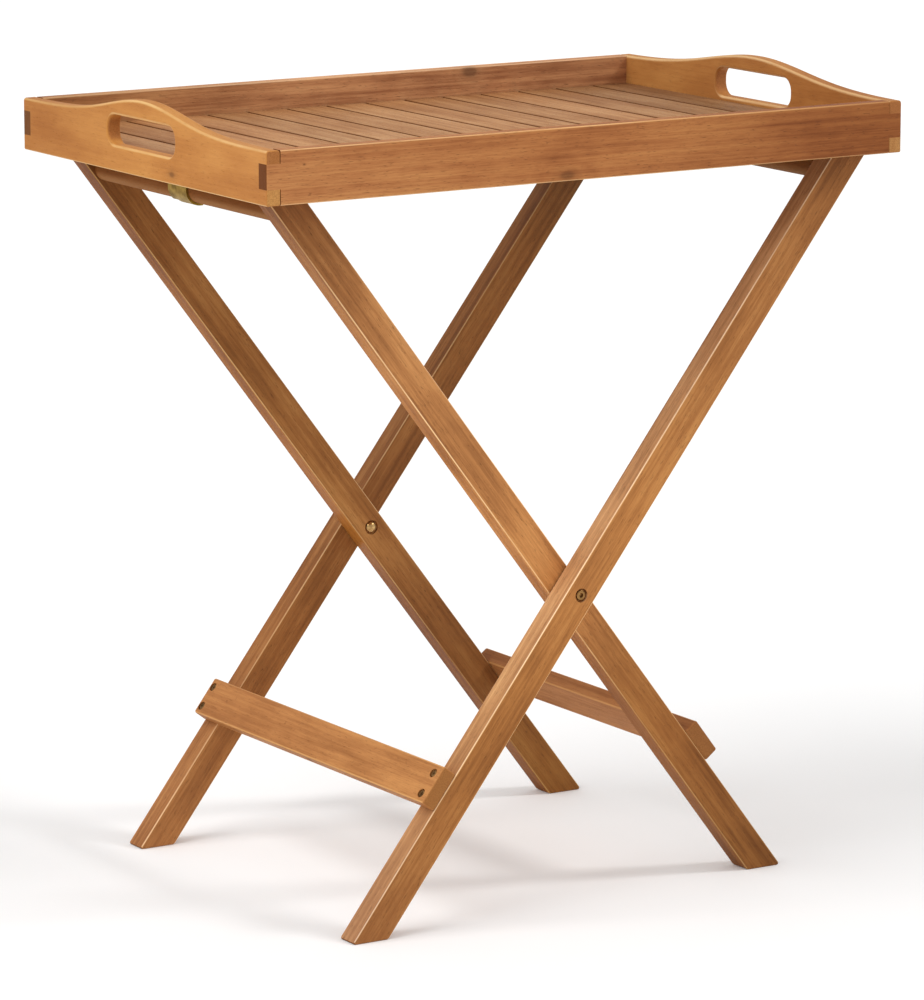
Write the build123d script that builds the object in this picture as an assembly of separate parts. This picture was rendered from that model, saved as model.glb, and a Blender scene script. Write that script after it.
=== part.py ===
from build123d import *
from math import asin, atan2, cos, degrees, exp, hypot, radians, sin, sqrt
import os

# Folding tray table in oiled hardwood: a slatted serving tray with two carrying handles, held by
# two brass hooks on the round cross rods of an X-shaped stand.
# Frame, in millimetres: +X along the tray's length, -Y towards the front, +Z up. The origin is on
# the floor under the tray's centre. The stand opens and closes in the XZ plane.

# Tray frame
tray_length = 702.0
tray_depth = 466.0
rail_bottom = 700.4
rail_height = 50.1
rail_thickness = 14.0
end_thickness = 14.5
finger_low = 14.8        # height of the corner joint's lower finger, from the rail's bottom
finger_high = 38.0       # height where its upper finger starts
board_ease = 1.6         # radius that the boards' arrises are sanded to
grip_ease = 3.0          # larger radius along the handle's top edge

# Handle: a bell-shaped rise in each end board, with a slot for the fingers. The boards are shaped
# by hand, so the two differ a little; the first value is the left board's.
hump_rises = (20.8, 20.2)
hump_spreads = (66.0, 78.0)    # distance from the centre to the bell curve's steepest point
slot_shifts = (0.0, -5.0)      # how far the slot lies off the board's middle, along Y
hump_points = 17
slot_length = 127.5
slot_height = 28.3
slot_corner = 12.5
slot_centres = (739.0, 741.0)
slot_ease = 3.2

# Slats, housed in a groove along each rail and tied by battens underneath
slat_count = 15
slat_width = 41.0
slat_thickness = 8.0
slat_top = 722.5
slat_ease = 0.7
tongue_thickness = 5.0   # the slats' ends are rebated to a tongue that fits the groove
groove_depth = 5.0
slat_end_gap = 0.5       # between a tongue's end and the groove's bottom
slat_shoulder_gap = 0.3  # between a slat's shoulder and the rail's inner face
side_batten_width = 24.0
side_batten_y = 130.0
middle_batten_width = 44.0
batten_ease = 1.0
brad_radius = 0.8
brad_head_radius = 1.6
brad_head_height = 0.8
brad_length = 18.5

# Stand
stand_x = -3.0           # the stand's centre line, which the hooks place a little off the tray's
pivot_z = 303.5
rod_half_span = 294.5    # from the stand's centre line to each rod
rod_z = 687.1
rod_radius = 13.0
tenon_radius = 7.0
tenon_length = 14.0
tenon_end_gap = 0.5
leg_width = 31.2
leg_thickness = 25.2
leg_outer_y = 217.3
leg_gap = 2.0            # between an outer leg and the inner leg beside it
leg_top = 700.8          # the legs are cut level about where the rails end
leg_ease = 1.5
leg_tip_corner = 2.0     # radius of the sharp corners at the foot and at the top, in side view
leg_heel_corner = 4.8    # radius of the blunt ones
fit_clearance = 0.1      # between pieces that are glued or screwed together

# Stretcher boards across the lower legs
stretcher_width = 40.0
stretcher_thickness = 16.0
stretcher_from_pivot = 228.0
stretcher_ease = 2.2
stretcher_screw_spacing = 22.0
stretcher_screw_drop = 0.5       # how far the screws lie below the board's centre line
stretcher_screw_insets = (11.0, 7.0)     # from the front end and from the rear end
screw_radius = 2.0
screw_head_radius = 4.1
screw_head_height = 2.6
screw_head_round = 1.4
screw_cross = (4.4, 0.9, 1.0)    # length, width and depth of the cross in the head
screw_length = 38.0
screw_pilot_depth = 27.0         # depth of the hole in the leg
screw_sink = 0.8         # depth of the head's top below the board's face
screw_recess_radius = 4.6

# Pivot bolts, with cap nuts that reach into the inner legs
bolt_radius = 3.0
bolt_clearance = 0.05    # running fit of the outer legs on the bolts
bolt_head_radius = 4.9
bolt_head_height = 3.0
bolt_head_round = 1.1
bolt_recess_radius = 6.7
bolt_recess_depth = 3.6
bolt_socket_width = 5.0
bolt_socket_depth = 2.2
bolt_end_gap = 1.0       # between a bolt's end and the bottom of its nut
nut_head_radius = 6.1
nut_head_height = 4.6
nut_recess_radius = 7.4
nut_recess_depth = 1.8
nut_sleeve_radius = 4.2
nut_sleeve_length = 15.0
washer_radius = 9.0
washer_thickness = 1.9

# Brass hooks under the tray, bent from strip, which close round the rods from outside and below
hook_clearance = 0.3
hook_thickness = 2.0
hook_front_y = -17.0
hook_rear_y = 8.0
hook_ear_rear_y = 17.5
hook_ear_end = 232.0     # angle, from the inward direction over the top, where the ear stops
hook_tail = 3.0
hook_plate_length = 19.0
hook_plate_corner = 3.0
hook_screw_y = (-10.0, 10.0)
hook_screw_radius = 1.75
hook_screw_head_radius = 3.6
hook_screw_head_height = 1.8
hook_screw_dome_radius = 4.3
hook_screw_slot = (0.9, 0.6)     # width and depth
hook_screw_length = 10.0

# Places worked out from the sizes above
end_inner_x = tray_length / 2 - end_thickness
rail_inner_y = tray_depth / 2 - rail_thickness
rail_top = rail_bottom + rail_height
rod_height = rod_z - pivot_z
leg_reach = hypot(rod_half_span, rod_height)
leg_slope = degrees(atan2(rod_height, rod_half_span))
inner_leg_y = leg_outer_y - leg_thickness - leg_gap
hook_radius = rod_radius + hook_clearance
slat_bottom = slat_top - slat_thickness
front, rear = -1, 1
left, right = -1, 1
cut_margin = 1.0         # how far a cutting shape runs past the face that it cuts

os.makedirs("parts", exist_ok=True)


def save(name, shape):
    """Write one piece, or one group of equal fasteners, to its own file."""
    export_step(shape, f"parts/{name}.step")


def block(x_low, x_high, y_low, y_high, z_low, z_high):
    """A box between two corners."""
    middle = ((x_low + x_high) / 2, (y_low + y_high) / 2, (z_low + z_high) / 2)
    return Pos(*middle) * Box(x_high - x_low, y_high - y_low, z_high - z_low)


def pin_along_y(x, z, y_start, y_end, radius):
    """A cylinder whose axis runs along Y between two places."""
    return Pos(x, (y_start + y_end) / 2, z) * Rot(90, 0, 0) * Cylinder(radius, abs(y_end - y_start))


def edges_near(shape, test):
    """The edges whose middle point passes the test."""
    return ShapeList([edge for edge in shape.edges() if test(edge @ 0.5)])


def on_plane(value, place):
    """True when a coordinate lies on a plane."""
    return abs(value - place) < 0.01


# ---------------------------------------------------------------- tray frame

def long_rail(side):
    """Front or back rail: one middle finger at each end, and a groove that houses the slats."""
    inner_y = side * rail_inner_y
    outer_y = side * tray_depth / 2
    y_low, y_high = sorted((inner_y, outer_y))
    body = block(-end_inner_x, end_inner_x, y_low, y_high, rail_bottom, rail_top)
    body += block(-tray_length / 2, tray_length / 2, y_low, y_high,
                  rail_bottom + finger_low, rail_bottom + finger_high)
    groove_y = sorted((inner_y, side * (rail_inner_y + groove_depth)))
    body -= block(-end_inner_x, end_inner_x, *groove_y, slat_bottom, slat_bottom + tongue_thickness)
    long_arrises = edges_near(body, lambda m: on_plane(m.X, 0)
                              and (on_plane(m.Z, rail_top) or on_plane(m.Z, rail_bottom)))
    body = fillet(long_arrises, board_ease)
    corners = edges_near(body, lambda m: on_plane(abs(m.X), tray_length / 2)
                         and on_plane(m.Y, outer_y))
    return fillet(corners, board_ease)


def handle_height(y, rise, spread):
    """Height of an end board's top edge: a bell curve that fades out towards the corners."""
    def bell(distance):
        return exp(-0.5 * (distance / spread) ** 2)
    foot = bell(tray_depth / 2)
    return rail_top + rise * (bell(y) - foot) / (1 - foot)


def end_board(side):
    """Left or right end board, with the handle and the fingers that lock into the rails."""
    which = (left, right).index(side)
    rise, spread = hump_rises[which], hump_spreads[which]
    shift, slot_z = slot_shifts[which], slot_centres[which]
    half = tray_depth / 2
    steps = [half * (2 * i / (hump_points - 1) - 1) for i in range(hump_points)]
    top = Spline(*[(y, handle_height(y, rise, spread)) for y in steps])
    sides = Polyline((half, rail_top), (half, rail_bottom), (-half, rail_bottom), (-half, rail_top))
    slot = Pos(shift, slot_z) * RectangleRounded(slot_length, slot_height, slot_corner)
    outline = make_face(Curve() + [top, sides]) - slot
    inner_x = side * end_inner_x
    outer_x = side * tray_length / 2
    x_low, x_high = sorted((inner_x, outer_x))
    body = extrude(Plane.YZ.offset(x_low) * outline, end_thickness)
    top_arrises = edges_near(body, lambda m: m.Z > rail_top + rise / 2)
    body = fillet(top_arrises, grip_ease)
    slot_arrises = edges_near(body, lambda m: abs(m.Y - shift) < slot_length / 2 + cut_margin
                              and abs(m.Z - slot_z) < slot_height / 2 + cut_margin
                              and (on_plane(m.X, x_low) or on_plane(m.X, x_high)))
    body = fillet(slot_arrises, slot_ease)
    bottom_arrises = edges_near(body, lambda m: on_plane(m.Y, 0) and on_plane(m.Z, rail_bottom))
    body = fillet(bottom_arrises, board_ease)
    corners = edges_near(body, lambda m: on_plane(m.X, outer_x) and on_plane(abs(m.Y), half))
    body = fillet(corners, board_ease)
    for end in (front, rear):
        y_low, y_high = sorted((end * rail_inner_y, end * (half + cut_margin)))
        body -= block(x_low - cut_margin, x_high + cut_margin, y_low, y_high,
                      rail_bottom + finger_low, rail_bottom + finger_high)
    return body


# ---------------------------------------------------------------- slats and battens

slat_gap = (2 * end_inner_x - slat_count * slat_width) / (slat_count - 1)
slat_centres = [-end_inner_x + slat_width / 2 + i * (slat_width + slat_gap)
                for i in range(slat_count)]
batten_rows = {"batten_front": (-side_batten_y, side_batten_width),
               "batten_middle": (0.0, middle_batten_width),
               "batten_back": (side_batten_y, side_batten_width)}


def brad_hole(x, y):
    """The space of a brad's shank, driven up through a batten into a slat."""
    return Pos(x, y, rail_bottom + brad_length / 2) * Cylinder(brad_radius, brad_length)


def brad_head(x, y):
    """A brad's head, set flush in the batten's underside."""
    return Pos(x, y, rail_bottom + brad_head_height / 2) * Cylinder(brad_head_radius,
                                                                    brad_head_height)


def slat(x):
    """One slat with eased top arrises, and a tongue at each end that enters the rail's groove."""
    x_low, x_high = x - slat_width / 2, x + slat_width / 2
    shoulder = rail_inner_y - slat_shoulder_gap
    tongue_end = rail_inner_y + groove_depth - slat_end_gap
    body = block(x_low, x_high, -shoulder, shoulder, slat_bottom, slat_top)
    arrises = edges_near(body, lambda m: on_plane(m.Y, 0) and on_plane(m.Z, slat_top))
    body = fillet(arrises, slat_ease)
    return body + block(x_low, x_high, -tongue_end, tongue_end,
                        slat_bottom, slat_bottom + tongue_thickness)


def batten(y, width):
    """One batten under the slats, flush with the rails' bottom, on which the rods bear."""
    body = block(-end_inner_x, end_inner_x, y - width / 2, y + width / 2, rail_bottom, slat_bottom)
    arrises = edges_near(body, lambda m: on_plane(m.X, 0) and on_plane(m.Z, rail_bottom))
    return fillet(arrises, batten_ease)


# ---------------------------------------------------------------- hooks

def on_rod(side, x, z):
    """A place given from the rod's axis, x counted inwards, as seen on the left side."""
    return stand_x + side * (rod_half_span - x), rod_z + z


def hook_strip(arc_end, y_front, y_rear):
    """The left hook's strip, from its plate round the rod to an angle, about the rod's axis."""
    middle = hook_radius + hook_thickness / 2
    plate_z = rail_bottom - rod_z - hook_thickness / 2
    path = Polyline((-middle - hook_plate_length, plate_z), (-middle, plate_z), (-middle, 0))
    bend = CenterArc((0, 0), middle, 180, arc_end - 180)
    line = Curve() + [path, bend]
    if arc_end == 270:
        line += Line((0, -middle), (hook_tail, -middle))
    strip = trace(line, hook_thickness)
    return extrude(Plane.XZ.offset(-y_rear) * strip, y_rear - y_front)


def hook_screw_places(side):
    """The plan positions of a hook's screws, in the middle of its plate."""
    x = on_rod(side, -hook_radius - hook_thickness - hook_plate_length / 2, 0)[0]
    return [(x, y) for y in hook_screw_y]


def hook(side):
    """A brass hook: a screwed plate, a strip round the rod's outer side, and a narrower ear."""
    shape = hook_strip(270, hook_front_y, hook_rear_y)
    shape += hook_strip(hook_ear_end, hook_rear_y, hook_ear_rear_y)
    plate_ends = edges_near(shape, lambda m: m.X < -hook_radius - hook_plate_length
                            and (on_plane(m.Y, hook_front_y) or on_plane(m.Y, hook_ear_rear_y)))
    shape = fillet(plate_ends, hook_plate_corner)
    if side == right:
        shape = mirror(shape, Plane.YZ)
    x, z = on_rod(side, 0, 0)
    shape = Pos(x, 0, z) * shape
    for screw_x, screw_y in hook_screw_places(side):
        shape -= Pos(screw_x, screw_y, rail_bottom) * Cylinder(hook_screw_radius + fit_clearance,
                                                              4 * hook_thickness)
    return shape


def hook_screw(x, y):
    """A round-headed screw with a slot, holding a hook to the middle batten."""
    plate_bottom = rail_bottom - hook_thickness
    slot_width, slot_depth = hook_screw_slot
    dome_rise = sqrt(hook_screw_dome_radius ** 2 - hook_screw_head_radius ** 2)
    head = Pos(x, y, plate_bottom + dome_rise) * Sphere(hook_screw_dome_radius)
    head &= Pos(x, y, plate_bottom - hook_screw_head_height / 2) * Cylinder(
        hook_screw_head_radius, hook_screw_head_height)
    head -= Pos(x, y, plate_bottom - hook_screw_dome_radius + dome_rise) * Box(
        2 * hook_screw_head_radius, slot_width, 2 * slot_depth)
    shank = Pos(x, y, plate_bottom + hook_screw_length / 2) * Cylinder(hook_screw_radius,
                                                                       hook_screw_length)
    return head + shank


# ---------------------------------------------------------------- stand

def leg_place(lean, along, across, y):
    """A place on a leg: along it from the pivot towards the rod, and square to it, upwards."""
    slope = radians(leg_slope)
    x = lean * (along * cos(slope) - across * sin(slope))
    z = along * sin(slope) + across * cos(slope)
    return stand_x + x, y, pivot_z + z


def leg_outline(lean):
    """A leg's side outline: cut level at the floor and below the tray, with rounded corners."""
    slope = radians(leg_slope)
    half = leg_width / 2
    corners = []
    for height, order in ((-pivot_z, (half, -half)), (leg_top - pivot_z, (-half, half))):
        for across in order:
            along = (height - across * cos(slope)) / sin(slope)
            x, _, z = leg_place(lean, along, across, 0)
            corners.append((x, z))
    outline = make_face(Polyline(*corners, close=True))
    foot_tip, foot_heel, top_tip, top_heel = corners
    for tips, radius in (((foot_tip, top_tip), leg_tip_corner), ((foot_heel, top_heel), leg_heel_corner)):
        chosen = [v for v in outline.vertices()
                  if any(on_plane(v.X, x) and on_plane(v.Y, z) for x, z in tips)]
        outline = fillet(chosen, radius)
    return outline


def leg(lean, y_low):
    """One leg with eased arrises, and a blind hole for the rod's tenon."""
    y_high = y_low + leg_thickness
    body = extrude(Plane.XZ.offset(-y_high) * leg_outline(lean), leg_thickness)
    arrises = edges_near(body, lambda m: on_plane(m.Y, y_low) or on_plane(m.Y, y_high))
    body = fillet(arrises, leg_ease)
    x, _, z = leg_place(lean, leg_reach, 0, 0)
    inward = 1 if y_low < 0 else -1
    tenon_face = y_high if y_low < 0 else y_low
    hole_end = tenon_face - inward * (tenon_length + tenon_end_gap)
    return body - pin_along_y(x, z, tenon_face + inward * cut_margin, hole_end,
                              tenon_radius + fit_clearance)


def screw_places(y_rows):
    """Where a stretcher's screws go in: along the leg, and across in each of the given rows."""
    places = []
    for y in y_rows:
        for step in (-1, 1):
            offset = step * stretcher_screw_spacing / 2 - stretcher_screw_drop
            places.append((-stretcher_from_pivot + offset, y))
    return places


def on_leg(lean, along, across, y):
    """A local frame on a leg, with its local Z pointing square off the leg's upper edge."""
    turn = leg_slope if lean == right else 180 - leg_slope
    flip = 0 if lean == right else 180
    return Pos(*leg_place(lean, along, across, y)) * Rot(0, -turn, 0) * Rot(flip, 0, 0)


def screw_row(side, outer_y):
    """The row of a stretcher's screws at one side, a little in from the board's end."""
    return side * (outer_y - stretcher_screw_insets[(front, rear).index(side)])


def stretcher(lean, outer_y):
    """A board across the two lower legs of one frame, on the legs' upper edges."""
    across = (leg_width + stretcher_thickness) / 2
    body = Box(stretcher_width, 2 * outer_y, stretcher_thickness)
    body = fillet(body.edges(), stretcher_ease)
    body = on_leg(lean, -stretcher_from_pivot, across, 0) * body
    face = leg_width / 2 + stretcher_thickness
    depth = screw_sink + screw_head_height
    for along, y in screw_places([screw_row(side, outer_y) for side in (front, rear)]):
        hole = on_leg(lean, along, leg_width / 2, y) * Cylinder(screw_radius + fit_clearance,
                                                                3 * stretcher_thickness)
        recess = on_leg(lean, along, face, y) * Cylinder(screw_recess_radius, 2 * depth)
        body = body - hole - recess
    return body


def screw(lean, along, y):
    """A domed-head wood screw with a cross recess, its head sunk below the stretcher's face."""
    seat = leg_width / 2 + stretcher_thickness - screw_sink - screw_head_height
    head = Cylinder(screw_head_radius, screw_head_height, align=(Align.CENTER, Align.CENTER, Align.MIN))
    rim = head.edges().filter_by(GeomType.CIRCLE).sort_by(Axis.Z)[-1]
    head = fillet(rim, screw_head_round)
    length, width, depth = screw_cross
    for turn in (0, 90):
        head -= Pos(0, 0, screw_head_height) * Rot(0, 0, turn) * Box(length, width, 2 * depth)
    shank = Cylinder(screw_radius, screw_length, align=(Align.CENTER, Align.CENTER, Align.MAX))
    return on_leg(lean, along, seat, y) * (head + shank)


def drill_screws(body, lean, y):
    """Pilot holes for the stretcher's screws in a leg."""
    for along, row in screw_places([y]):
        body -= on_leg(lean, along, leg_width / 2, row) * Cylinder(screw_radius + fit_clearance,
                                                                   2 * screw_pilot_depth)
    return body


def rod(lean, y_shoulder):
    """A round cross rod with a turned tenon at each end."""
    x, _, z = leg_place(lean, leg_reach, 0, 0)
    reach = y_shoulder + tenon_length
    return pin_along_y(x, z, -y_shoulder, y_shoulder, rod_radius) + pin_along_y(
        x, z, -reach, reach, tenon_radius)


def outer_leg(side):
    """A leg of the outer frame, with the pivot hole and the bolt head's recess."""
    body = leg(right, side * (leg_outer_y - leg_thickness / 2) - leg_thickness / 2)
    face = side * leg_outer_y
    body -= pin_along_y(stand_x, pivot_z, face, face - side * (leg_thickness + cut_margin),
                        bolt_radius + bolt_clearance)
    body -= pin_along_y(stand_x, pivot_z, face + side * cut_margin, face - side * bolt_recess_depth,
                        bolt_recess_radius)
    return drill_screws(body, right, screw_row(side, leg_outer_y))


def inner_leg(side):
    """A leg of the inner frame, drilled for the nut's sleeve, with a recess for its cap."""
    body = leg(left, side * (inner_leg_y - leg_thickness / 2) - leg_thickness / 2)
    face = side * (inner_leg_y - leg_thickness)
    body -= pin_along_y(stand_x, pivot_z, face, face + side * (leg_thickness + cut_margin),
                        nut_sleeve_radius + fit_clearance)
    body -= pin_along_y(stand_x, pivot_z, face - side * cut_margin, face + side * nut_recess_depth,
                        nut_recess_radius)
    return drill_screws(body, left, screw_row(side, inner_leg_y))


def pivot_bolt(side):
    """A low domed bolt with a hexagon socket, from the outer leg's face into the nut."""
    seat = leg_outer_y - bolt_recess_depth + fit_clearance
    shank_end = inner_leg_y - leg_thickness + nut_recess_depth + bolt_end_gap
    head = Cylinder(bolt_head_radius, bolt_head_height, align=(Align.CENTER, Align.CENTER, Align.MIN))
    rim = head.edges().filter_by(GeomType.CIRCLE).sort_by(Axis.Z)[-1]
    head = fillet(rim, bolt_head_round)
    socket = extrude(RegularPolygon(bolt_socket_width / 2, 6), bolt_socket_depth)
    head -= Pos(0, 0, bolt_head_height - bolt_socket_depth) * socket
    turned = Pos(stand_x, side * seat, pivot_z) * Rot(-90 * side, 0, 0) * head
    return turned + pin_along_y(stand_x, pivot_z, side * seat, side * shank_end, bolt_radius)


def pivot_nut(side):
    """A domed cap nut on the inner leg's inner face, with its sleeve round the bolt's end."""
    seat = inner_leg_y - leg_thickness + nut_recess_depth
    dome_radius = (nut_head_radius ** 2 + nut_head_height ** 2) / (2 * nut_head_height)
    dome = Pos(stand_x, side * (seat - nut_head_height + dome_radius), pivot_z) * Sphere(dome_radius)
    head = dome & pin_along_y(stand_x, pivot_z, side * seat, side * (seat - nut_head_height),
                              nut_head_radius)
    sleeve = pin_along_y(stand_x, pivot_z, side * seat, side * (seat + nut_sleeve_length),
                         nut_sleeve_radius)
    bore = pin_along_y(stand_x, pivot_z, side * seat, side * (seat + nut_sleeve_length + cut_margin),
                       bolt_radius + bolt_clearance)
    return head + sleeve - bore


def pivot_washer(side):
    """The washer between an inner and an outer leg, lying against the inner one."""
    disc = pin_along_y(stand_x, pivot_z, side * inner_leg_y, side * (inner_leg_y + washer_thickness),
                       washer_radius)
    hole = pin_along_y(stand_x, pivot_z, side * (inner_leg_y - cut_margin),
                       side * (inner_leg_y + washer_thickness + cut_margin),
                       bolt_radius + bolt_clearance)
    return disc - hole


# ---------------------------------------------------------------- write the pieces

for name, side in (("rail_front", front), ("rail_back", rear)):
    save(name, long_rail(side))
for name, side in (("end_board_left", left), ("end_board_right", right)):
    save(name, end_board(side))

for number, x in enumerate(slat_centres, 1):
    shape = slat(x)
    for y, _ in batten_rows.values():
        shape -= brad_hole(x, y)
    save(f"slat_{number:02d}", shape)

screw_holes = [(x, y) for side in (left, right) for x, y in hook_screw_places(side)]
for name, (y, width) in batten_rows.items():
    shape = batten(y, width)
    for x in slat_centres:
        shape = shape - brad_hole(x, y) - brad_head(x, y)
    if name == "batten_middle":
        for x, hole_y in screw_holes:
            shape -= Pos(x, hole_y, rail_bottom) * Cylinder(hook_screw_radius,
                                                            2 * (hook_screw_length - hook_thickness))
    save(name, shape)
brads = [brad_head(x, y) + brad_hole(x, y) for x in slat_centres for y, _ in batten_rows.values()]
save("slat_brads", Compound(children=brads))

save("hook_left", hook(left))
save("hook_right", hook(right))
save("hook_screws", Compound(children=[hook_screw(x, y) for x, y in screw_holes]))

save("leg_outer_front", outer_leg(front))
save("leg_outer_rear", outer_leg(rear))
save("leg_inner_front", inner_leg(front))
save("leg_inner_rear", inner_leg(rear))
save("rod_right", rod(right, leg_outer_y - leg_thickness))
save("rod_left", rod(left, inner_leg_y - leg_thickness))
save("stretcher_left", stretcher(right, leg_outer_y))
save("stretcher_right", stretcher(left, inner_leg_y))
for name, lean, outer_y in (("stretcher_left_screws", right, leg_outer_y),
                            ("stretcher_right_screws", left, inner_leg_y)):
    places = screw_places([screw_row(side, outer_y) for side in (front, rear)])
    save(name, Compound(children=[screw(lean, along, y) for along, y in places]))

save("pivot_bolts", Compound(children=[pivot_bolt(side) for side in (front, rear)]))
save("pivot_nuts", Compound(children=[pivot_nut(side) for side in (front, rear)]))
save("pivot_washers", Compound(children=[pivot_washer(side) for side in (front, rear)]))

closed_angle = 180 - 2 * leg_slope - degrees(asin((leg_width / 2 + rod_radius) / leg_reach))
print(f"leg slope {leg_slope:.2f} deg, the rods meet the inner legs after {closed_angle:.1f} deg")
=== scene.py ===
import bpy
import math
import random
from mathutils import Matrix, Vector


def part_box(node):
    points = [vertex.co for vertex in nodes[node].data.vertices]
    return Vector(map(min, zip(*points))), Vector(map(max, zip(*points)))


# A folding tray table in oiled hardwood, in metres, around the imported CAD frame. Every wooden piece
# gets its own board: the same kind of wood, cut from another place.

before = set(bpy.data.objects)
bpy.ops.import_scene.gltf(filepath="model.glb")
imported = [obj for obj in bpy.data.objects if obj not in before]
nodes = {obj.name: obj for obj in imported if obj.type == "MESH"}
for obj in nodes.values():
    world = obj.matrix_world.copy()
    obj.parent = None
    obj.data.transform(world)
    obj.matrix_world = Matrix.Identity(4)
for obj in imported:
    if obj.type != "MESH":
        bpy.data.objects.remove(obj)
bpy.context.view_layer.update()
rng = random.Random(11)

X, Y, Z = Vector((1, 0, 0)), Vector((0, 1, 0)), Vector((0, 0, 1))


def srgb(red, green, blue):
    """A colour given as 0-255 sRGB values, in linear light."""
    def linear(value):
        value /= 255
        return value / 12.92 if value <= 0.04045 else ((value + 0.055) / 1.055) ** 2.4
    return (linear(red), linear(green), linear(blue), 1.0)


def centre(node):
    """The middle of a CAD node's box."""
    low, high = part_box(node)
    return (low + high) / 2


# ---------------------------------------------------------------- material building

class Graph:
    """A material under construction. An input is a number, a vector, a colour or another output."""

    def __init__(self, name):
        self.material = bpy.data.materials.new(name)
        self.material.use_nodes = True
        self.tree = self.material.node_tree
        self.shader = self.tree.nodes["Principled BSDF"]
        self.coordinates = self.tree.nodes.new("ShaderNodeTexCoord")

    def feed(self, socket, value):
        """Link an output to a socket, or set the socket's own value."""
        if isinstance(value, bpy.types.NodeSocket):
            self.tree.links.new(value, socket)
        else:
            socket.default_value = value

    def math(self, operation, *values, clamp=False):
        node = self.tree.nodes.new("ShaderNodeMath")
        node.operation = operation
        node.use_clamp = clamp
        for socket, value in zip(node.inputs, values):
            self.feed(socket, value)
        return node.outputs[0]

    def vector(self, operation, *values):
        node = self.tree.nodes.new("ShaderNodeVectorMath")
        node.operation = operation
        for socket, value in zip(node.inputs, values):
            self.feed(socket, value)
        single = operation in ("DOT_PRODUCT", "LENGTH")
        return node.outputs["Value" if single else "Vector"]

    def combine(self, x, y, z):
        node = self.tree.nodes.new("ShaderNodeCombineXYZ")
        for socket, value in zip(node.inputs, (x, y, z)):
            self.feed(socket, value)
        return node.outputs[0]

    def noise(self, place, detail=2.0, roughness=0.5):
        node = self.tree.nodes.new("ShaderNodeTexNoise")
        self.feed(node.inputs["Vector"], place)
        node.inputs["Scale"].default_value = 1.0
        node.inputs["Detail"].default_value = detail
        node.inputs["Roughness"].default_value = roughness
        return node.outputs[0]

    def step(self, value, low, high):
        """A smooth step from 0 at low to 1 at high."""
        node = self.tree.nodes.new("ShaderNodeMapRange")
        node.interpolation_type = "SMOOTHSTEP"
        self.feed(node.inputs["Value"], value)
        node.inputs["From Min"].default_value = low
        node.inputs["From Max"].default_value = high
        return node.outputs[0]

    def mix(self, share, first, second, mode="MIX"):
        """Two colours mixed: only the first at share 0, only the second at 1."""
        node = self.tree.nodes.new("ShaderNodeMix")
        node.data_type = "RGBA"
        node.blend_type = mode
        self.feed(node.inputs["Factor"], share)
        first_colour, second_colour, mixed_colour = node.inputs[6], node.inputs[7], node.outputs[2]
        self.feed(first_colour, first)
        self.feed(second_colour, second)
        return mixed_colour

    def bump(self, height, distance):
        """Raise the surface by a height of 0 to 1 times a distance in metres."""
        node = self.tree.nodes.new("ShaderNodeBump")
        node.inputs["Distance"].default_value = distance
        self.feed(node.inputs["Height"], height)
        self.feed(self.shader.inputs["Normal"], node.outputs[0])


def paint(name, material):
    """Give a CAD node its finished material."""
    nodes[name].material_slots[0].material = material


# ---------------------------------------------------------------- wood

class Board:
    """How one piece was cut: its grain, its broad face, and the log's heart seen from its middle."""

    def __init__(self, node, grain, face, heart):
        self.node = node
        self.middle = centre(node)
        self.grain = grain.normalized()
        self.face = face.normalized()
        self.side = self.face.cross(self.grain)
        self.heart = heart
        self.offset = Vector([rng.uniform(-40, 40) for _ in range(3)])


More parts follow.
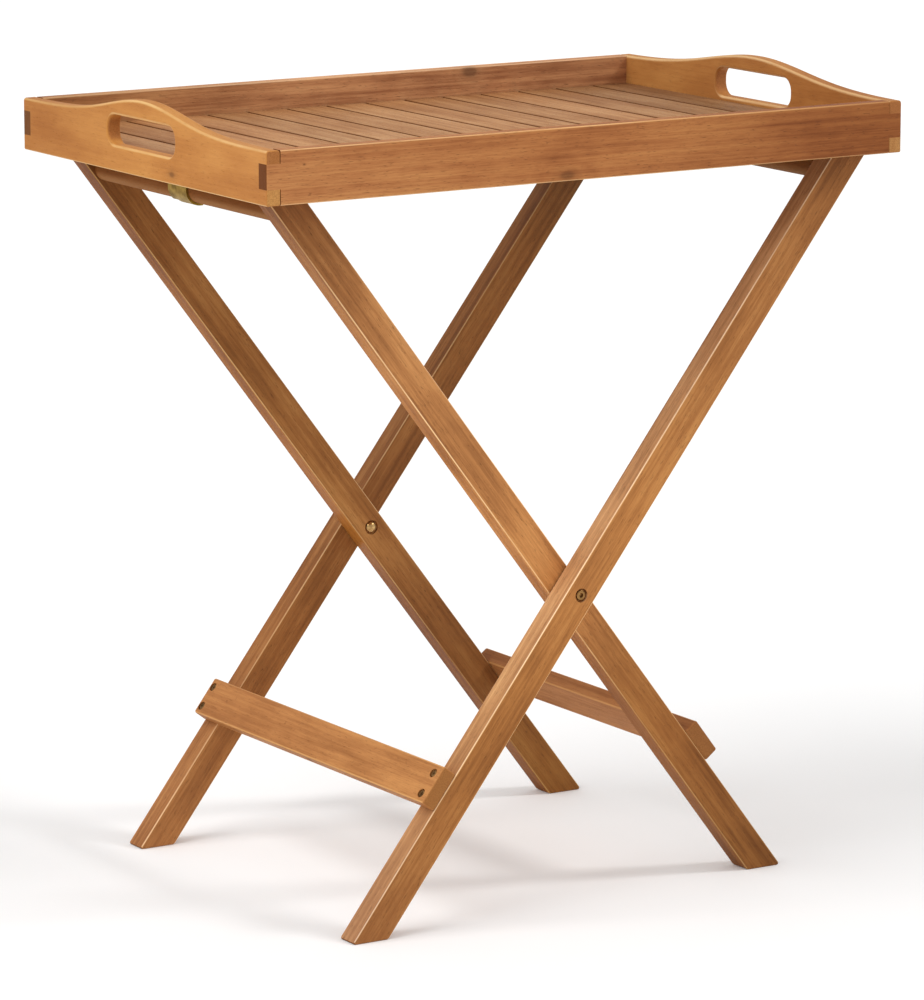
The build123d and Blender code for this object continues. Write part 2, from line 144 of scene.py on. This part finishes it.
def wood(board, tones, figure, knots=(), light_and_tone_along=(), high_ends=None, gap_shade=None, face_light_and_shade=None):
    """Oiled hardwood: growth rings about the heart, blotches, streaks, pores, end grain, paler arrises and
    knots. The arrises are paler from use and also carry a painted highlight; on the slats the arris tone is
    darker instead, painted shade at the gaps. A knot is a spot, a size, how many times longer it is along
    the grain, and its depth of colour. The tints along the board, given at even steps, are painted light
    and shade along the piece mixed with the wood's own changes of tone. high_ends is a height and the
    colour of the end grain above it. The gap shade argument is a colour, and its share, painted as shade
    on faces that look sideways into a gap. The face light argument is a direction, and the tint of the
    faces that look that way: painted light on some legs and painted shade on others."""
    g = Graph(board.node + "_wood")
    here = g.coordinates.outputs["Object"]
    place = g.vector("SUBTRACT", here, board.middle)
    along = g.vector("DOT_PRODUCT", place, board.grain)
    wide = g.vector("DOT_PRODUCT", place, board.side)
    deep = g.vector("DOT_PRODUCT", place, board.face)

    def stretched(per_metre_along, per_metre_across, shift):
        """Coordinates for a noise that is longer along the grain than across it."""
        offset = board.offset * (1 + shift)
        return g.vector("ADD", g.combine(g.math("MULTIPLY", along, per_metre_along),
                                         g.math("MULTIPLY", wide, per_metre_across),
                                         g.math("MULTIPLY", deep, per_metre_across)), offset)

    # The grain wanders, and it swells round each knot.
    wander = g.math("SUBTRACT", g.noise(stretched(2.2, 9, 0.0), 2.0), 0.5)
    flutter = g.math("SUBTRACT", g.noise(stretched(16, 60, 0.3), 2.0), 0.5)
    from_heart_wide = g.math("ADD", g.math("SUBTRACT", wide, board.heart[0]),
                             g.math("MULTIPLY", wander, figure["wander"]))
    from_heart_deep = g.math("ADD", g.math("SUBTRACT", deep, board.heart[1]),
                             g.math("MULTIPLY", flutter, figure["flutter"]))
    radius = g.math("SQRT", g.math("ADD", g.math("POWER", from_heart_wide, 2.0),
                                   g.math("POWER", from_heart_deep, 2.0)))
    knot_dark = None
    for spot, size, length, depth in knots:
        away = g.vector("SUBTRACT", here, spot)
        reach = g.combine(g.math("DIVIDE", g.vector("DOT_PRODUCT", away, board.grain), length),
                          g.vector("DOT_PRODUCT", away, board.side),
                          g.vector("DOT_PRODUCT", away, board.face))
        ragged = g.math("MULTIPLY_ADD", flutter, size * 1.1, g.vector("LENGTH", reach))
        swell = g.math("SUBTRACT", 1.0, g.step(ragged, 0.0, size * 4.5))
        radius = g.math("MULTIPLY_ADD", swell, size * 1.6, radius)
        halo = g.math("SUBTRACT", 1.0, g.step(ragged, size * 0.5, size * 2.4))
        core = g.math("SUBTRACT", 1.0, g.step(ragged, size * 0.35, size * 1.05))
        dark = g.math("MULTIPLY", g.math("MULTIPLY_ADD", halo, 0.35, g.math("MULTIPLY", core, 0.65)), depth)
        knot_dark = dark if knot_dark is None else g.math("MAXIMUM", knot_dark, dark)

    ring_place = g.combine(g.math("MULTIPLY_ADD", radius, figure["rings"], board.offset[0]),
                           g.math("MULTIPLY", along, 1.4), board.offset[1])
    rings = g.noise(ring_place, 3.0, 0.55)
    streaks = g.noise(stretched(figure["streak_length"], 240, 0.6), 4.0, 0.66)
    blotches = g.noise(stretched(9, 24, 1.2), 4.0, 0.6)
    fibres = g.noise(stretched(55, 800, 0.9), 3.0, 0.7)
    pores = g.step(g.noise(stretched(150, 1300, 1.5), 1.0, 0.5), 0.64, 0.76)

    tone = g.math("MULTIPLY", g.step(rings, 0.3, 0.72), figure["ring_share"])
    tone = g.math("MULTIPLY_ADD", g.step(streaks, 0.3, 0.7), figure["streak_share"], tone)
    tone = g.math("MULTIPLY_ADD", g.step(blotches, 0.28, 0.72), figure["blotch_share"], tone)
    colour = g.mix(g.step(tone, 0.0, 0.6), tones["light"], tones["base"])
    colour = g.mix(g.step(tone, 0.4, 1.0), colour, tones["dark"])
    fibre_dark = g.math("MULTIPLY", g.step(fibres, 0.42, 0.72), figure["fibre_share"])
    colour = g.mix(fibre_dark, colour, tones["dark"])
    colour = g.mix(g.math("MULTIPLY", pores, figure["pore_share"]), colour, tones["pore"])

    # End grain drinks more oil, so it is darker and shows the rings as arcs.
    normal = g.coordinates.outputs["Normal"]
    facing_grain = g.math("ABSOLUTE", g.vector("DOT_PRODUCT", normal, board.grain))
    end_grain = g.step(facing_grain, 0.55, 0.95)
    speckle = g.step(g.noise(stretched(300, 900, 1.8), 2.0, 0.6), 0.42, 0.62)
    end_tone = tones["end"]
    if high_ends is not None:
        height = g.vector("DOT_PRODUCT", here, Z)
        line, high_tone = high_ends
        end_tone = g.mix(g.step(height, line - 0.001, line + 0.001), end_tone, high_tone)
    end_colour = g.mix(g.math("MULTIPLY", speckle, 0.35), end_tone, tones["pore"])
    end_colour = g.mix(g.math("MULTIPLY", g.step(rings, 0.35, 0.65), 0.3), end_colour, tones["dark"])
    colour = g.mix(end_grain, colour, end_colour)

    # The long arrises are paler from use, unevenly, and the paler tone is also a painted highlight; on the
    # slats the arris tone is darker, painted shade at the gaps.
    facing = g.math("ABSOLUTE", g.vector("DOT_PRODUCT", normal, board.face))
    across_face = g.math("SQRT", g.math("SUBTRACT", 1.0, g.math("MULTIPLY", facing, facing), clamp=True))
    arris = g.step(g.math("MINIMUM", facing, across_face), 0.12, 0.6)
    arris_wear_and_shading = g.math("MULTIPLY", arris, g.math("MULTIPLY_ADD", g.step(blotches, 0.3, 0.6), 0.5, 0.5))
    arris_wear_and_shading = g.math("MULTIPLY", arris_wear_and_shading, g.math("SUBTRACT", 1.0, g.step(facing_grain, 0.1, 0.45)))
    colour = g.mix(g.math("MULTIPLY", arris_wear_and_shading, figure["arris_wear_and_shading_share"]), colour, tones["arris_wear_and_shading_tone"])
    if knot_dark is not None:
        colour = g.mix(g.math("MINIMUM", knot_dark, 1.0), colour, tones["knot"])
    # Painted shade: faces that look sideways into a gap are darkened where shade falls between the slats.
    if gap_shade is not None:
        gap_shade_colour, gap_shade_share = gap_shade
        sideways = g.step(g.math("ABSOLUTE", g.vector("DOT_PRODUCT", normal, board.side)), 0.75, 0.98)
        colour = g.mix(g.math("MULTIPLY", sideways, gap_shade_share), colour, gap_shade_colour)
    # Painted light and shade: faces that look one way are tinted paler on some legs and darker on others,
    # as the light falls on them.
    if face_light_and_shade is not None:
        direction, face_tint = face_light_and_shade
        turned = g.step(g.vector("DOT_PRODUCT", normal, direction), 0.55, 0.95)
        colour = g.mix(turned, colour, g.mix(1.0, colour, face_tint, "MULTIPLY"))
    # Tints at even steps along the board: painted light and shade along the piece, mixed with the wood's
    # own changes of tone.
    if light_and_tone_along:
        low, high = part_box(board.node)
        length = sum(abs(size * part) for size, part in zip(high - low, board.grain))
        stretch = length / (len(light_and_tone_along) - 1)
        tint = (*light_and_tone_along[0], 1.0)
        for number, value in enumerate(light_and_tone_along[1:]):
            start = stretch * number - length / 2
            tint = g.mix(g.step(along, start, start + stretch), tint, (*value, 1.0))
        colour = g.mix(1.0, colour, tint, "MULTIPLY")
    g.feed(g.shader.inputs["Base Color"], colour)

    sheen = g.math("MULTIPLY_ADD", blotches, 0.16, figure["roughness"])
    sheen = g.math("MULTIPLY_ADD", pores, 0.15, sheen)
    sheen = g.math("MULTIPLY_ADD", end_grain, 0.15, sheen)
    sheen = g.math("MULTIPLY_ADD", arris_wear_and_shading, -0.08, sheen)
    g.feed(g.shader.inputs["Roughness"], sheen)
    relief = g.math("MULTIPLY_ADD", streaks, 0.45, g.math("MULTIPLY", fibres, 0.55))
    relief = g.math("MULTIPLY_ADD", pores, -0.5, relief)
    g.bump(relief, figure["relief"])
    g.shader.inputs["IOR"].default_value = 1.48
    g.shader.inputs["Specular IOR Level"].default_value = figure["shine"]
    return g.material


plain_figure = {"rings": 85, "wander": 0.02, "flutter": 0.004, "ring_share": 0.3, "streak_length": 6,
                "streak_share": 0.36, "blotch_share": 0.36, "fibre_share": 0.34, "pore_share": 0.5,
                "arris_wear_and_shading_share": 0.8, "roughness": 0.44, "relief": 0.0003, "shine": 0.11}
strong_figure = dict(plain_figure, ring_share=0.4, streak_share=0.34, streak_length=2.5, blotch_share=0.32)
quiet_figure = dict(plain_figure, ring_share=0.18, streak_share=0.16, blotch_share=0.5, fibre_share=0.2,
                    pore_share=0.25)
rod_figure = dict(quiet_figure, roughness=0.6, shine=0.03)
deck_figure = dict(plain_figure, ring_share=0.24, streak_share=0.38, blotch_share=0.3, fibre_share=0.36,
                   roughness=0.5, relief=0.0005, arris_wear_and_shading_share=0.8)

rail_tones = {"light": srgb(198, 138, 88), "base": srgb(176, 114, 71), "dark": srgb(132, 76, 44),
              "pore": srgb(92, 54, 30), "end": srgb(104, 58, 24), "arris_wear_and_shading_tone": srgb(240, 196, 146),
              "knot": srgb(66, 38, 24)}
end_board_tones = {"light": srgb(206, 145, 82), "base": srgb(192, 129, 70), "dark": srgb(168, 106, 55),
                   "pore": srgb(128, 78, 38), "end": srgb(206, 152, 94), "arris_wear_and_shading_tone": srgb(242, 202, 150),
                   "knot": srgb(84, 50, 28)}
# The slats' arris tone is darker than their wood: painted shade at the gaps.
slat_tones = {"light": srgb(203, 158, 117), "base": srgb(181, 132, 92), "dark": srgb(147, 100, 65),
              "pore": srgb(110, 72, 46), "end": srgb(124, 84, 54), "arris_wear_and_shading_tone": srgb(122, 80, 50),
              "knot": srgb(84, 52, 34)}
leg_tones = {"light": srgb(196, 136, 81), "base": srgb(172, 112, 63), "dark": srgb(134, 82, 44),
             "pore": srgb(92, 56, 30), "end": srgb(120, 76, 42), "arris_wear_and_shading_tone": srgb(246, 200, 150),
             "knot": srgb(70, 42, 24)}
stretcher_tones = {"light": srgb(208, 149, 93), "base": srgb(188, 129, 79), "dark": srgb(152, 97, 55),
                   "pore": srgb(106, 64, 36), "end": srgb(166, 112, 64), "arris_wear_and_shading_tone": srgb(224, 170, 110),
                   "knot": srgb(74, 44, 26)}
rod_tones = {"light": srgb(184, 126, 74), "base": srgb(162, 106, 58), "dark": srgb(132, 82, 44),
             "pore": srgb(98, 60, 34), "end": srgb(120, 78, 44), "arris_wear_and_shading_tone": srgb(200, 150, 98),
             "knot": srgb(74, 44, 26)}
plain_tones = {"light": srgb(196, 146, 94), "base": srgb(176, 124, 74), "dark": srgb(148, 98, 56),
               "pore": srgb(110, 70, 42), "end": srgb(140, 94, 56), "arris_wear_and_shading_tone": srgb(206, 160, 112),
               "knot": srgb(74, 44, 26)}


def shaded(tones, factor, warmth=1.0):
    """The same wood a little darker or paler, and redder or greyer: used for boards of another tone, and
    for shaded copies that are painted shade.
    """
    tint = (factor * warmth, factor, factor / warmth, 1.0)
    return {part: tuple(c * t for c, t in zip(colour, tint)) for part, colour in tones.items()}


def finish_rails():
    """The front rail with a whorl and a pin knot, darker and redder towards its right end, and the back
    rail with one large knot inside, painted paler all along: painted light on its shaded inner face.
    """
    front_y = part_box("rail_front")[0].y
    back_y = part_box("rail_back")[0].y
    front = Board("rail_front", X, Y, (0.012, 0.06))
    low_whorl = (Vector((-0.031, front_y, 0.7055)), 0.005, 2.0, 0.5)
    pin_knot = (Vector((-0.312, front_y, 0.736)), 0.0009, 1.5, 0.6)
    paint("rail_front", wood(front, rail_tones, strong_figure, (low_whorl, pin_knot),
                             light_and_tone_along=((1.02, 1.0, 0.9), (0.95, 0.89, 0.74), (0.66, 0.54, 0.39))))
    back = Board("rail_back", X, Y, (-0.02, 0.05))
    knot = (Vector((0.147, back_y, 0.7455)), 0.006, 1.8, 0.62)
    # Painted light: the back rail's tints lift its shaded inner face.
    paint("rail_back", wood(back, rail_tones, dict(plain_figure, arris_wear_and_shading_share=0.3), (knot,),
                            light_and_tone_along=((1.06, 1.24, 1.28), (1.48, 1.88, 2.3), (1.3, 1.56, 1.86))))


def finish_end_boards():
    """Even, paler boards. The upper fingers' end grain is browner than the lower ones'."""
    left_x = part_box("end_board_left")[0].x
    rail_low, rail_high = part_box("rail_front")
    ends = ((rail_low.z + rail_high.z) / 2, srgb(176, 116, 70))
    left = Board("end_board_left", Y, X, (0.03, -0.09))
    mark = (Vector((left_x, -0.059, 0.7095)), 0.0034, 1.9, 0.6)
    paint("end_board_left", wood(left, end_board_tones, quiet_figure, (mark,), high_ends=ends,
                                 light_and_tone_along=((0.94, 0.9, 0.76), (0.96, 0.93, 0.74), (0.76, 0.67, 0.5))))
    right = Board("end_board_right", Y, X, (-0.04, 0.07))
    paint("end_board_right", wood(right, shaded(end_board_tones, 0.88), quiet_figure, high_ends=ends,
                                  light_and_tone_along=((0.92, 0.88, 0.82), (1.02, 1.04, 1.0))))


def finish_slats():
    """Slats in slightly different tones on plain battens. Painted shade: a painted shadow of the right end
    board on the slats beside it, the slats darker towards the back rail, and their side faces darker where
    they look into the gaps.
    """
    # Painted shadow of the right end board on the last three slats.
    end_board_shadow_slats = {"slat_13": 0.88, "slat_14": 0.68, "slat_15": 0.58}
    # Painted shade: the slats grow darker towards the back rail.
    light_and_tone_along = ((1.02, 1.0, 0.92), (0.98, 0.95, 0.86), (0.84, 0.77, 0.66))
    # Painted shade on the slats' side faces, where they look into the gaps.
    painted_gap_shade = (srgb(120, 76, 44), 0.85)
    for name in sorted(n for n in nodes if n.startswith("slat_") and n != "slat_brads"):
        heart = (rng.uniform(-0.03, 0.03), rng.uniform(-0.12, -0.04))
        shade = rng.uniform(0.9, 1.1) * end_board_shadow_slats.get(name, 1.0)
        tones = shaded(slat_tones, shade, rng.uniform(0.98, 1.04))
        paint(name, wood(Board(name, Y, Z, heart), tones, deck_figure, light_and_tone_along=light_and_tone_along, gap_shade=painted_gap_shade))
    for name in ("batten_front", "batten_middle", "batten_back"):
        paint(name, wood(Board(name, X, Z, (0.01, 0.05)), plain_tones, plain_figure))


def leg_line(name):
    """The direction of a leg, from its foot up to its rod."""
    rod = centre("rod_right" if "outer" in name else "rod_left")
    pivot = centre("pivot_bolts")
    return Vector((rod.x - pivot.x, 0, rod.z - pivot.z)).normalized()


def finish_stand():
    """Legs, rods and stretchers. The legs' tints run from foot to top: painted light and shade along each
    leg, with the tray's painted shadow at the top, mixed with the wood's own tone.
    """
    # Painted light and shade from foot to top of each leg; the darkest tints at the top are the tray's
    # painted shadow.
    leg_light_and_tone_along = {"leg_outer_front": ((0.8, 0.78, 0.74), (1.04, 1.05, 0.9), (1.26, 1.32, 1.22),
                                 (0.98, 0.99, 0.93), (0.76, 0.74, 0.68)),
             "leg_outer_rear": ((1.05, 1.1, 1.14), (0.82, 0.8, 0.72), (0.82, 0.84, 0.78),
                                (0.7, 0.7, 0.6), (0.27, 0.27, 0.27)),
             "leg_inner_front": ((0.64, 0.62, 0.5), (0.81, 0.77, 0.63), (1.4, 1.52, 1.55),
                                 (1.28, 1.4, 1.5), (0.72, 0.69, 0.64)),
             "leg_inner_rear": ((0.66, 0.64, 0.46), (0.6, 0.57, 0.5), (0.96, 1.0, 0.9),
                                (0.8, 0.82, 0.72), (0.55, 0.5, 0.36))}
    # Painted light and shade on each leg's narrow faces: paler on the outer front leg, darker on the inner
    # legs.
    narrow_face_light_and_shade = {"leg_outer_front": (1.28, 1.58, 2.4, 1.0), "leg_outer_rear": (0.95, 0.95, 1.0, 1.0),
                    "leg_inner_front": (0.9, 0.82, 0.62, 1.0), "leg_inner_rear": (0.95, 0.8, 0.5, 1.0)}
    hearts = {"leg_outer_front": (0.02, 0.05), "leg_outer_rear": (-0.03, 0.04),
              "leg_inner_front": (0.01, -0.06), "leg_inner_rear": (0.03, 0.04)}
    for name, light_and_tone_along in leg_light_and_tone_along.items():
        line = leg_line(name)
        board = Board(name, line, Y, hearts[name])
        paint(name, wood(board, leg_tones, plain_figure, light_and_tone_along=light_and_tone_along,
                         face_light_and_shade=(line.cross(Y), narrow_face_light_and_shade[name])))
    # Painted shade: the rods sit in the tray's shade, so their wood is darkened, the right rod most.
    for name, shade in (("rod_left", 0.47), ("rod_right", 0.31)):
        paint(name, wood(Board(name, Y, Z, (0.02, 0.03)), shaded(rod_tones, shade, 1.2), rod_figure))
    for name, leg in (("stretcher_left", "leg_outer_front"), ("stretcher_right", "leg_inner_front")):
        line = leg_line(leg)
        flat = line.cross(Y)
        half_width = 0.02
        low_edge = centre(name) - line * half_width
        knots = ((low_edge, 0.003, 1.8, 0.8),) if name == "stretcher_left" else ()
        # The right stretcher faces away from the key light and is painted darker: painted shade.
        light_and_tone_along = ((1.0, 0.98, 0.86), (0.86, 0.8, 0.7)) if knots else ((0.84, 0.79, 0.73), (0.78, 0.72, 0.66))
        paint(name, wood(Board(name, Y, flat, (0.02, 0.07)), stretcher_tones, plain_figure, knots, light_and_tone_along))


# ---------------------------------------------------------------- metal

def metal(name, bright, dull, roughness):
    """Satin metal with fine scratches and a cloudy, darker tarnish."""
    g = Graph(name)
    place = g.coordinates.outputs["Object"]
    clouds = g.noise(g.vector("MULTIPLY", place, (110, 110, 110)), 3.0, 0.6)
    scratches = g.noise(g.vector("MULTIPLY", place, (260, 2600, 900)), 2.0, 0.6)
    grime = g.noise(g.vector("MULTIPLY", place, (420, 420, 420)), 2.0, 0.5)
    tarnish = g.math("MULTIPLY_ADD", g.step(grime, 0.5, 0.8), 0.25, g.step(clouds, 0.35, 0.75), clamp=True)
    g.feed(g.shader.inputs["Base Color"], g.mix(tarnish, bright, dull))
    g.shader.inputs["Metallic"].default_value = 1.0
    rough = g.math("MULTIPLY_ADD", tarnish, 0.16, g.math("MULTIPLY_ADD", scratches, 0.1, roughness))
    g.feed(g.shader.inputs["Roughness"], rough)
    g.bump(scratches, 0.00003)
    return g.material


def finish_metal():
    """Brass hooks, bronze screws and bolts, paler cap nuts and washers, steel brads."""
    brass = metal("brass", srgb(160, 128, 48), srgb(120, 92, 32), 0.36)
    bronze = metal("bronze", srgb(158, 118, 70), srgb(96, 68, 38), 0.3)
    nickel_brass = metal("cap_brass", srgb(206, 168, 112), srgb(150, 112, 66), 0.22)
    steel = metal("steel", srgb(190, 190, 186), srgb(128, 122, 114), 0.38)
    for name in ("hook_left", "hook_right", "hook_screws"):
        paint(name, brass)
    for name in ("stretcher_left_screws", "stretcher_right_screws", "pivot_bolts"):
        paint(name, bronze)
    for name in ("pivot_nuts", "pivot_washers"):
        paint(name, nickel_brass)
    paint("slat_brads", steel)


# ---------------------------------------------------------------- studio

def add_floor():
    """A plain pale floor, well past the camera's view."""
    size = 40.0
    mesh = bpy.data.meshes.new("floor")
    corners = [(-size, -size, 0), (size, -size, 0), (size, size, 0), (-size, size, 0)]
    mesh.from_pydata(corners, [], [(0, 1, 2, 3)])
    floor = bpy.data.objects.new("floor", mesh)
    bpy.context.scene.collection.objects.link(floor)
    g = Graph("floor_pale")
    g.shader.inputs["Base Color"].default_value = (0.93, 0.93, 0.93, 1)
    g.shader.inputs["Roughness"].default_value = 0.8
    g.shader.inputs["Specular IOR Level"].default_value = 0.2
    mesh.materials.append(g.material)


def add_sun(name, towards, strength, spread):
    """A distant soft light that shines in a given direction."""
    data = bpy.data.lights.new(name, "SUN")
    data.energy = strength
    data.angle = math.radians(spread)
    light = bpy.data.objects.new(name, data)
    light.rotation_euler = Vector(towards).to_track_quat("-Z", "Y").to_euler()
    bpy.context.scene.collection.objects.link(light)


def add_light():
    """An even white sky, a broad light from the left and a narrower one from the front right."""
    world = bpy.data.worlds.new("studio")
    world.use_nodes = True
    background = world.node_tree.nodes["Background"]
    background.inputs["Color"].default_value = (1, 1, 1, 1)
    background.inputs["Strength"].default_value = 0.64
    bpy.context.scene.world = world
    add_sun("key", (0.85, 0.0, -0.95), 1.5, 45)
    add_sun("right", (-0.8, 0.5, -0.85), 0.9, 12)
    bpy.context.scene.view_settings.view_transform = "Standard"


def add_camera():
    """A long lens from the front left, a little above the tray."""
    data = bpy.data.cameras.new("camera")
    data.lens = 196.66
    data.sensor_width = 36.0
    camera = bpy.data.objects.new("camera", data)
    camera.location = (-2.76797, -4.41717, 1.38817)
    turn, dip = math.radians(32.077), math.radians(11.174)
    ahead = Vector((math.sin(turn) * math.cos(dip), math.cos(turn) * math.cos(dip), -math.sin(dip)))
    camera.rotation_euler = ahead.to_track_quat("-Z", "Y").to_euler()
    bpy.context.scene.collection.objects.link(camera)
    bpy.context.scene.camera = camera


finish_rails()
finish_end_boards()
finish_slats()
finish_stand()
finish_metal()
add_floor()
add_light()
add_camera()
